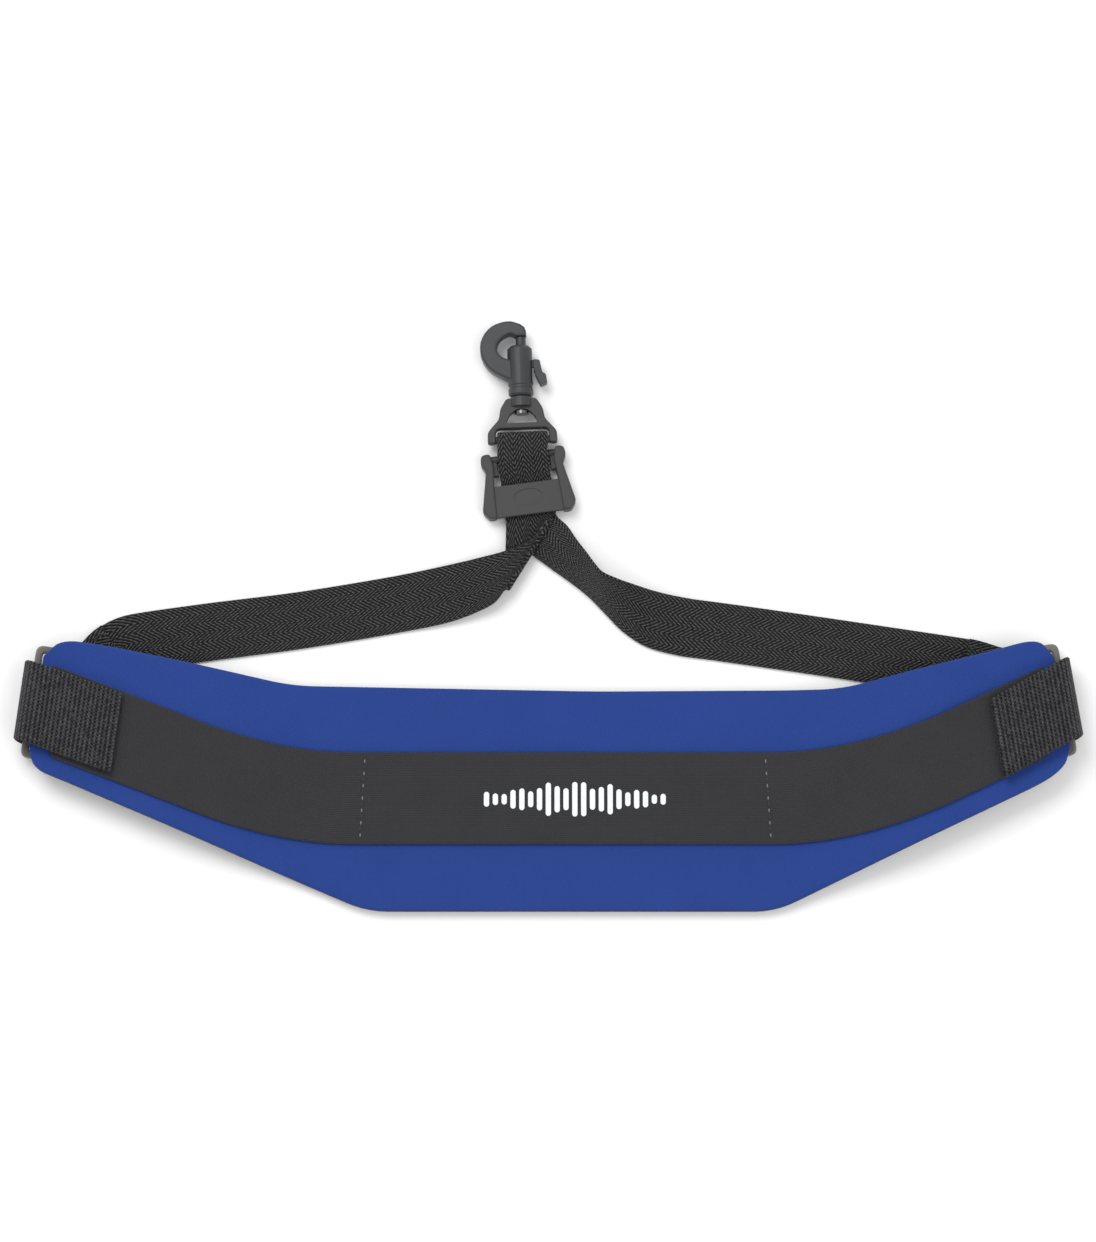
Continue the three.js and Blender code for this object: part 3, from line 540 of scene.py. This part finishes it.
# ------------------------------------------------------------------ pad
PAD_UPPER = [(-207, -19.5), (-200, -12.6), (-181, -15.4), (-106, -30.6), (20, -33), (121, -32.4),
             (178, -18.6), (201.5, -12.2), (207.4, -19.5)]
PAD_LOWER = [(-212.3, -56.5), (-210.5, -66), (-199, -70.6), (-74, -123.6), (93, -123.6), (204, -71),
             (212, -64.5), (213.7, -54.8)]
PAD_CORNER_CUT = 9
PAD_STEPS = 240
PAD_ROWS = 56
FACE_ROUND = 1.1
FACE_DROP = 0.75
BACK_ROUND = 0.8
BACK_RISE = 0.35
FOAM_LEVELS = (PAD_THICK - 0.95, 0.65)
DENT_DEEP = 0.22
DENT_WIDE = 2.2
DENT_OFFSET = 0.6
RIPPLE_HIGH = 0.12
RIPPLE_FADE = 12


def rounded_path(corners, cut, curve_steps=12):
    """Points along straight runs whose corners are rounded by quadratic curves."""
    points = [Vector((*p, 0)) for p in corners]
    out = [points[0]]
    for i in range(1, len(points) - 1):
        back = points[i] - points[i - 1]
        on = points[i + 1] - points[i]
        before = points[i] - back.normalized() * min(cut, back.length * 0.45)
        after = points[i] + on.normalized() * min(cut, on.length * 0.45)
        for k in range(curve_steps + 1):
            t = k / curve_steps
            out.append(before * (1 - t) ** 2 + points[i] * 2 * t * (1 - t) + after * t * t)
    out.append(points[-1])
    return out


def walk(points, count):
    """Count + 1 points at equal steps of length along a path."""
    lengths = [0]
    for a, b in zip(points, points[1:]):
        lengths.append(lengths[-1] + (b - a).length)
    out = []
    i = 0
    for n in range(count + 1):
        target = lengths[-1] * n / count
        while i < len(points) - 2 and lengths[i + 1] < target:
            i += 1
        span = lengths[i + 1] - lengths[i]
        out.append(points[i].lerp(points[i + 1], (target - lengths[i]) / span if span else 0))
    return out


def pad_dent(x, y):
    """How far the face sinks under the stretched band, and its slight unevenness, in mm."""
    off = abs(y - band_middle(x))
    near_edge = math.exp(-((off - BAND_HALF - DENT_OFFSET) / DENT_WIDE) ** 2)
    ripple = RIPPLE_HIGH * math.sin(0.11 * x + 0.6) * math.sin(0.17 * y + 0.4)
    return DENT_DEEP * near_edge + ripple * smoothstep(off, BAND_HALF, BAND_HALF + RIPPLE_FADE)


def add_pad():
    steps = PAD_STEPS
    rows = PAD_ROWS
    upper = walk(rounded_path(PAD_UPPER, PAD_CORNER_CUT), steps)
    lower = walk(rounded_path(PAD_LOWER, PAD_CORNER_CUT), steps)
    vertices = []
    levels = FOAM_LEVELS
    ring = 2 * (rows + 1) + 2 * len(levels)
    for a, b in zip(upper, lower):
        width = (b - a).length
        spread = [0.5 - 0.5 * math.cos(math.pi * k / rows) for k in range(rows + 1)]
        across = [a.lerp(b, t) for t in spread]
        for point, t in zip(across, spread):
            inside = min(t, 1 - t) * width
            edge = 1 - min(inside / FACE_ROUND, 1)
            drop = FACE_DROP * edge**2
            z = pad_lift(point.x) + PAD_THICK - drop - pad_dent(point.x, point.y) * (1 - edge)
            vertices.append((point.x, point.y, z))
        for level in levels:
            vertices.append((b.x, b.y, pad_lift(b.x) + level))
        for point, t in reversed(list(zip(across, spread))):
            inside = min(t, 1 - t) * width
            edge = 1 - min(inside / BACK_ROUND, 1)
            vertices.append((point.x, point.y, pad_lift(point.x) + BACK_RISE * edge**2))
        for level in reversed(levels):
            vertices.append((a.x, a.y, pad_lift(a.x) + level))
    faces = []
    for i in range(steps):
        for k in range(ring):
            p = i * ring + k
            q = i * ring + (k + 1) % ring
            faces.append((p, p + ring, q + ring, q))
    for start, flip in ((0, False), (steps * ring, True)):
        top = [start + k for k in range(rows + 1)]
        low = [start + rows + 1 + len(levels) + k for k in range(rows + 1)][::-1]
        near = [top[-1], start + rows + 1, start + rows + 2, low[-1]]
        far = [top[0], start + ring - 1, start + ring - 2, low[0]]
        loop = top + near[1:3] + low[::-1] + far[1:3][::-1]
        faces.append(tuple(loop if not flip else loop[::-1]))
    pad = new_object("padded_crescent", vertices, faces)
    paint(pad, BLUE, FOAM, BLACK_JERSEY)
    for face in pad.data.polygons:
        if face.index >= steps * ring:
            face.material_index = 1
            continue
        k = face.index % ring
        if k < rows + 1:
            face.material_index = 0
        elif k < rows + 2 or k == ring - 2:
            face.material_index = 1
        elif k == ring - 1:
            face.material_index = 0
        else:
            face.material_index = 2
    shade(pad, 55)
    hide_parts("pad_front_jersey")
    for place in ("left", "middle", "right"):
        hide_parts(f"pad_core_{place}", f"pad_back_jersey_{place}")
    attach(pad, "pad")


# ------------------------------------------------------------------ band, seams and print
BAND_BOTTOM = PAD_THICK + GAP
BAND_END = 203.0
BAND_STEP = 2
BAND_LIFT = 0.9
BAND_SINK = 0.12
SEAM_PITCH = 4.9
SEAM_INSET = 1.2
SEAM_SUNK = 0.1
# Where a seam crosses the band's upper and lower edge, along the pad.
SEAMS = {"left": (-75.1, -77), "right": (89.2, 91.3)}


def band_arch(centre, x):
    """The band lies close in the middle and its upper edge lifts a little where the right wing bends."""
    lifted = BAND_LIFT * smoothstep(centre.x, 145, 172) * (1 - smoothstep(centre.x, 178, 192))
    return lifted * smoothstep(-x, 0.4, 1) - BAND_SINK


def add_band():
    stations = []
    x = -BAND_END
    while x <= BAND_END:
        z = pad_lift(x) + BAND_BOTTOM + BAND_THICK / 2
        middle = band_middle(x)
        stations.append((Vector((x, middle + BAND_HALF, z)), Vector((x, middle - BAND_HALF, z))))
        x += BAND_STEP
    band = strip_piece("elastic_band", stations, BAND_THICK, fixed_normal=UP, arch=band_arch, columns=28)
    paint(band, ELASTIC)
    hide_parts("stretch_band")
    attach(band, "pad")
    top = BAND_BOTTOM + BAND_THICK - SEAM_SUNK
    for side, (top_x, foot_x) in SEAMS.items():
        y = band_middle(top_x)
        inset = BAND_HALF - SEAM_INSET
        line = [Vector((top_x, y + inset, top)), Vector((foot_x, y - inset, top))]
        seam = stitching(f"{side}_band_stitches", [line], pitch=SEAM_PITCH, long=1.8, radius=0.33)
        paint(seam, PALE_THREAD)
        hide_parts(f"band_seam_{side}")
        # Dark thread-shaped bumps between the pale stitches: painted shade in the gaps of the seam, not
        # a second thread.
        half_step = (line[1] - line[0]).normalized() * SEAM_PITCH / 2
        seam_shade_line = [line[0] + half_step, line[1] - half_step]
        dark = stitching(f"{side}_band_dark_stitches", [seam_shade_line], pitch=SEAM_PITCH, long=3.2, radius=0.5)
        paint(dark, THREAD)
        for piece in (seam, dark):
            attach(piece, "pad")


PRINT_CENTRE = (11.0, -78.0)
PRINT_LONG = 76
PRINT_HIGH = 15.5
PRINT_BARS = 21
PRINT_SUNK = 0.04
PRINT_DEEP = 0.1
PRINT_ARC_STEPS = 8


def add_print():
    """A plain row of round-ended bars, like a sound level, in place of the maker's print."""
    vertices = []
    faces = []
    z = BAND_BOTTOM + BAND_THICK - PRINT_SUNK
    pitch = PRINT_LONG / PRINT_BARS
    half = 0.3 * pitch
    for n in range(PRINT_BARS):
        x = PRINT_CENTRE[0] + (n - (PRINT_BARS - 1) / 2) * pitch
        swell = 0.5 + 0.5 * math.cos(2 * math.pi * (n - PRINT_BARS // 2) / PRINT_BARS)
        beat = 0.5 + 0.5 * math.cos(2 * math.pi * n / 3.5)
        reach = PRINT_HIGH / 2 * (0.22 + 0.78 * (0.45 * swell + 0.55 * beat * (0.4 + 0.6 * swell)))
        base = len(vertices)
        outline = []
        for k in range(PRINT_ARC_STEPS + 1):
            angle = math.pi * k / PRINT_ARC_STEPS
            y = PRINT_CENTRE[1] + reach - half + half * math.sin(angle)
            outline.append((x + half * math.cos(angle), y))
        for k in range(PRINT_ARC_STEPS + 1):
            angle = math.pi + math.pi * k / PRINT_ARC_STEPS
            y = PRINT_CENTRE[1] - reach + half + half * math.sin(angle)
            outline.append((x + half * math.cos(angle), y))
        vertices += [(px, py, z) for px, py in outline]
        vertices += [(px, py, z - PRINT_DEEP) for px, py in outline]
        count = len(outline)
        faces.append(tuple(base + k for k in range(count)))
        faces.append(tuple(base + count + k for k in reversed(range(count))))
        for k in range(count):
            p = base + k
            q = base + (k + 1) % count
            faces.append((p, p + count, q + count, q))
    motif = paint(new_object("print_motif", vertices, faces), INK)
    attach(motif, "pad")


# ------------------------------------------------------------------ tabs
TAB_REAR_Z = TIP_LIFT - GAP - WEB / 2
TAB_UNDER_Z = TIP_LIFT + BAND_BOTTOM + BAND_THICK + GAP + WEB / 2
TAB_TOP_Z = TAB_UNDER_Z + WEB + GAP
TAB_REAR_LONG = 29
BAR_FROM_FOLD = 4.6
TAB_BOX_START = 12
TAB_BOX_SHORT = 4


def tab_profile(long):
    """(distance from the fold, height): under the pad, round the ring, over the band, turned under."""
    turn = (TAB_TOP_Z - TAB_UNDER_Z) / 2
    turn_z = (TAB_TOP_Z + TAB_UNDER_Z) / 2
    profile = [
        (TAB_REAR_LONG, TAB_REAR_Z), (16, TAB_REAR_Z), (12.2, TAB_REAR_Z - 1.2),
        (8.4, OUTER_BAR_Z - 2.3), (BAR_FROM_FOLD + 0.6, OUTER_BAR_Z - 3), (2.3, OUTER_BAR_Z - 2.2),
        (0.9, OUTER_BAR_Z + 0.4), (0.75, OUTER_BAR_Z + 3.6), (1.2, OUTER_BAR_Z + 7.4),
        (3.6, TAB_TOP_Z - 1.4), (8, TAB_TOP_Z), (12, TAB_TOP_Z),
        (long - turn - 3, TAB_TOP_Z), (long - turn, TAB_TOP_Z),
    ]
    for angle in (30, 0, -30):
        rad = math.radians(angle)
        profile.append((long - turn + turn * math.cos(rad), turn_z + turn * math.sin(rad)))
    return profile + [(long - turn, TAB_UNDER_Z), (long - turn - 3, TAB_UNDER_Z), (13, TAB_UNDER_Z)]


def tab_point(wing, distance, side, z):
    p = wing.fold + wing.along * distance + wing.across * side
    return Vector((p.x, p.y, z))


def add_tab(side):
    wing = WINGS[side]
    half = TAB_WIDTH / 2
    keys = []
    for d, z in tab_profile(wing.tab_long):
        keys.append((tab_point(wing, d, half, z), tab_point(wing, d, -half, z)))
    tab = strip_piece(f"{side}_webbing_tab", smooth_stations(keys, 1.2), WEB)
    paint(tab, COARSE)
    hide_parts(f"{side}_tab")
    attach(tab, "pad")
    z = TAB_TOP_Z + WEB / 2 - THREAD_SUNK
    inset = half - STITCH_INSET
    near = TAB_BOX_START
    far = wing.tab_long - TAB_BOX_SHORT
    a = tab_point(wing, near, inset, z)
    b = tab_point(wing, far, inset, z)
    c = tab_point(wing, far, -inset, z)
    d = tab_point(wing, near, -inset, z)
    stitches = stitching(f"{side}_tab_stitches", [[a, b, c, d, a], [a, c], [b, d]])
    paint(stitches, THREAD)
    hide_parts(f"{side}_tab_stitching")
    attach(stitches, "pad")


# ------------------------------------------------------------------ strap webbing
FLOOR_Z = WEB / 2
LAYER = WEB + GAP
# The strap's way out of each ring: first heading in degrees, then (length, turn in degrees) moves.
LEADS = {
    "left": (20, [(2, 0), (10.5, 30), (9.5, 0), (14.3, -41)]),
    "right": (158, [(18, 0), (14, 14)]),
}
STRAND_ON_BAR = 6.2
SEWN_LONG = 30
SEWN_DROP = (14.5, 19.5)
SEWN_BOX = (23, 28)
# Steps of a lead between which its end comes to follow the ring; the first is clear of the skewed cut.
ENDS_BEND_FROM = -6
ENDS_BEND_TO = 2
# Key stations between an end of a run and the place where the webbing is cut into visual pieces.
CUT_IN_LEFT_RUN = 3
CUT_IN_NECK = 3
CUT_BEFORE_NECK_END = 4
CUT_IN_RIGHT_RUN = 9
LEFT_RUN = [
    ((-144.4, 4.2, 0.75), (-144.4, -20.2, 0.75)),
    ((-102.9, 9.5, 0.75), (-102.9, -14.7, 0.75)),
    ((-61.4, 16.5, 0.85), (-61.4, -7.7, 0.85)),
    ((-40.7, 20.6, 2.6), (-40.7, -3.6, 2.4)),
    ((-28.2, 23.2, 4.8), (-29, 0.4, 4.4)),
    ((-16.5, 26.2, 6.4), (-22, 4, 6)),
    ((-6, 31.4, 6.5), (-19, 7.6, 6.7)),
]
FOLD_UPPER = Vector((0.6, 39.8, 4.1))
FOLD_LOWER = Vector((-17.6, 9.8, 5.7))
FOLD_R = 1.15
RIGHT_RUN = [
    ((8, 36.6, 5.4), (-12.2, 30.6, 0.9)),
    ((11.6, 30, 11), (-7, 25.4, 1)),
    ((15.4, 23.6, 16.6), (1.2, 19.4, 1)),
    ((18.8, 17.8, 20.6), (10.8, 12.6, 1)),
    ((22, 13.8, 22), (17.6, 7, 1)),
    ((27.2, 11.8, 20), (23.6, 0.6, 1)),
    ((35, 10.2, 14.5), (30.4, -6.8, 1)),
    ((45, 8.4, 7.4), (40, -13.4, 0.9)),
    ((58, 6.5, 2.2), (53, -17.2, 0.8)),
    ((72, 4.8, 0.75), (68.6, -19.4, 0.75)),
    ((104.6, 0.1, 0.75), (101.2, -24.1, 0.75)),
    ((146, -6.1, 0.75), (142.6, -30.2, 0.75)),
]


def ring_inner_bar(wing):
    p = wing.fold + wing.along * BAR_FROM_FOLD + wing.across * RING_SHIFT
    return p + wing.inward * math.sqrt(RING_PITCH**2 - (OUTER_BAR_Z - INNER_BAR_Z) ** 2)


def lead(side):
    """Steps (point, heading, run) of the strap's way out from the ring's inner bar."""
    wing = WINGS[side]
    heading_deg, moves = LEADS[side]
    at = ring_inner_bar(wing) + wing.across * STRAND_ON_BAR
    heading = math.radians(heading_deg)
    run = 0
    out = [(at.copy(), heading, run)]
    for length, turn_deg in moves:
        steps = max(1, math.ceil(length / 3.5))
        turn = math.radians(turn_deg) / steps
        for _ in range(steps):
            heading += turn / 2
            at = at + Vector((math.cos(heading), math.sin(heading), 0)) * length / steps
            heading += turn / 2
            run += length / steps
            out.append((at.copy(), heading, run))
    return out


def lead_edges(side, step, z):
    at, heading, run = step
    square = Vector((-math.sin(heading), math.cos(heading), 0))
    if square.y < 0:
        square.negate()
    on_bar = min(max(1 - run / 9, 0), 1)
    across = square.lerp(WINGS[side].across, on_bar).normalized() * STRAND_WIDTH / 2
    return Vector((at.x + across.x, at.y + across.y, z)), Vector((at.x - across.x, at.y - across.y, z))


def lead_keys(side):
    """The sewn end, the turn round the ring's inner bar, and the strap's way out."""
    wing = WINGS[side]
    steps = lead(side)
    keys = []
    for step in reversed([s for s in steps if 1 < s[2] <= SEWN_LONG]):
        down = smoothstep(step[2], *SEWN_DROP)
        high = INNER_BAR_Z + RING_WRAP
        keys.append(lead_edges(side, step, high + (FLOOR_Z + LAYER - high) * down))
    for n in range(9):
        rad = math.radians(90 + 22.5 * n)
        a, b = lead_edges(side, steps[0], INNER_BAR_Z + RING_WRAP * math.sin(rad))
        shift = wing.inward * RING_WRAP * math.cos(rad)
        keys.append((a + shift, b + shift))
    return keys + [lead_edges(side, step, FLOOR_Z) for step in steps if step[2] > 1]


def fold_keys():
    line = (FOLD_LOWER - FOLD_UPPER).normalized()
    bulge = Vector((-line.y, line.x, 0)).normalized()
    keys = []
    for n in range(7):
        rad = math.radians(30 * n)
        offset = bulge * FOLD_R * math.sin(rad) + UP * FOLD_R * math.cos(rad)
        keys.append((FOLD_UPPER + offset, FOLD_LOWER + offset))
    return keys


def across_neck(origin, turn, forward, z):
    axis = Vector((-math.sin(turn), math.cos(turn), 0))
    side = Vector((math.cos(turn), math.sin(turn), 0)) * NECK_WIDTH / 2
    centre = origin + axis * forward + UP * z
    return centre + side, centre - side


def neck_station(v, z):
    return across_neck(SLIDER_AT, SLIDER_TURN, v, z)


def neck_arc(radius, degrees):
    rad = math.radians(degrees)
    return neck_station(SLIDER_BAR_V + radius * math.cos(rad), SLIDER_BAR_Z + radius * math.sin(rad))


def swivel_arc(degrees):
    rad = math.radians(degrees)
    radius = BASE_BAR_R + GAP + WEB / 2
    return across_neck(SWIVEL_AT, SWIVEL_TURN, radius * math.cos(rad), STEM_Z + radius * math.sin(rad))


def neck_keys():
    """Through the slider and over its bar, round the swivel's base bar, and back underneath."""
    near = SLIDER_BAR_R + GAP + WEB / 2
    under = FLOOR_Z + GAP
    over = under + LAYER
    keys = [neck_station(v, over) for v in (-15.5, -9, -2)]
    keys.append(neck_station(2.4, over + 1.6))
    keys += [neck_arc(near + LAYER, degrees) for degrees in (125, 105, 85)]
    keys += [swivel_arc(80 - 160 / 6 * n) for n in range(7)]
    keys += [swivel_arc(degrees) for degrees in (-100, -118)]
    keys += [neck_arc(near, degrees) for degrees in (58, 80, 104, 128)]
    keys.append(neck_station(2.6, under + 1.1))
    return keys + [neck_station(v, under) for v in (-2, -9, -15.5)]


def as_keys(rows):
    return [(Vector(a), Vector(b)) for a, b in rows]


def add_strap():
    """One webbing, cut into pieces where both neighbours follow the same body; returns where each piece
    goes over from one body to the next.
    """
    parts = [
        lead_keys("left"), as_keys(LEFT_RUN), fold_keys(), neck_keys(), as_keys(RIGHT_RUN),
        lead_keys("right")[::-1],
    ]
    keys = [key for part in parts for key in part]
    starts = [sum(len(p) for p in parts[:i]) for i in range(len(parts))]
    stations = smooth_stations(keys, 1.6)
    left_end = starts[1] - 1
    left_cut = starts[1] + CUT_IN_LEFT_RUN
    neck_cut = starts[3] + CUT_IN_NECK
    turn_cut = starts[4] - CUT_BEFORE_NECK_END
    right_cut = starts[4] + CUT_IN_RIGHT_RUN
    right_end = starts[5] + 1
    cuts = [
        ("strap_left_end", 0, left_end, ("pad", "ring_left")),
        ("strap_left_strand", left_end, left_cut, ("pad", "loop")),
        ("strap_left_fold", left_cut, neck_cut, ("loop", "slider")),
        ("strap_swivel_turn", neck_cut, turn_cut, ("slider", "loop")),
        ("strap_right_bend", turn_cut, right_cut, ("loop", "slider")),
        ("strap_right_strand", right_cut, right_end, ("pad", "loop")),
        ("strap_right_end", right_end, len(keys) - 1, ("pad", "ring_right")),
    ]
    axis = Vector((-math.sin(SLIDER_TURN), math.cos(SLIDER_TURN), 0))
    towards_slider = (Vector((0, 23, 0)), Vector((0, 40, 0)))
    # Where each piece goes over from its first body to its second.
    zones = {
        "strap_left_end": (lead("left")[ENDS_BEND_FROM][0], lead("left")[ENDS_BEND_TO][0]),
        "strap_left_strand": (Vector((-160, -10, 0)), Vector((-64, 4, 0))),
        "strap_left_fold": towards_slider,
        "strap_swivel_turn": (SLIDER_AT + axis * 11, SLIDER_AT + axis * 15.5),
        "strap_right_bend": towards_slider,
        "strap_right_strand": (Vector((160, -20, 0)), Vector((76, -8, 0))),
        "strap_right_end": (lead("right")[ENDS_BEND_FROM][0], lead("right")[ENDS_BEND_TO][0]),
    }
    for name, first, last, bodies in cuts:
        span = [s for s in stations if first - 1e-6 <= s[2] <= last + 1e-6]
        caps = (first == 0, last == len(keys) - 1)
        piece = strip_piece(name, span, WEB, caps=caps, columns=14)
        paint(piece, HERRINGBONE)
        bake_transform(piece)
    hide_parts("strap_webbing")
    return zones


def add_strand_stitches(side):
    steps = lead(side)
    near, far = SEWN_BOX
    anchor = min(steps, key=lambda s: abs(s[2] - (near + far) / 2))
    along = Vector((math.cos(anchor[1]), math.sin(anchor[1]), 0))
    across = Vector((-along.y, along.x, 0))
    half = STRAND_WIDTH / 2 - STITCH_INSET
    z = FLOOR_Z + LAYER + WEB / 2 - THREAD_SUNK

    def point(run, offset):
        p = anchor[0] + along * (run - anchor[2]) + across * offset
        return Vector((p.x, p.y, z))

    a = point(near, half)
    b = point(far, half)
    c = point(far, -half)
    d = point(near, -half)
    rows = [[a, b, c, d, a], [a, c], [b, d]]
    stitches = stitching(f"{side}_strand_stitches", rows, pitch=2.6, long=2.1)
    paint(stitches, THREAD)
    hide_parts(f"{side}_strand_stitching")
    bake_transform(stitches)


# ------------------------------------------------------------------ hard parts
HARD = {
    "left_ring": GREY_PLASTIC,
    "right_ring": GREY_PLASTIC,
    "slider_frame": DARK_PLASTIC,
    "swivel_frame": DARK_PLASTIC,
    "hook_body": HOOK_PLASTIC,
    "bolt": HOOK_PLASTIC,
    "swivel_stud": STEEL,
    "bolt_spring": STEEL,
}


def finish_hard_parts():
    for name, material in HARD.items():
        obj = bpy.data.objects[name]
        paint(obj, material)
        shade(obj, 38)
    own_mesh(bpy.data.objects["bolt_spring"])


add_camera()
add_studio()
add_pad()
add_band()
add_print()
for each in WINGS:
    add_tab(each)
ZONES = add_strap()
for each in WINGS:
    add_strand_stitches(each)
finish_hard_parts()
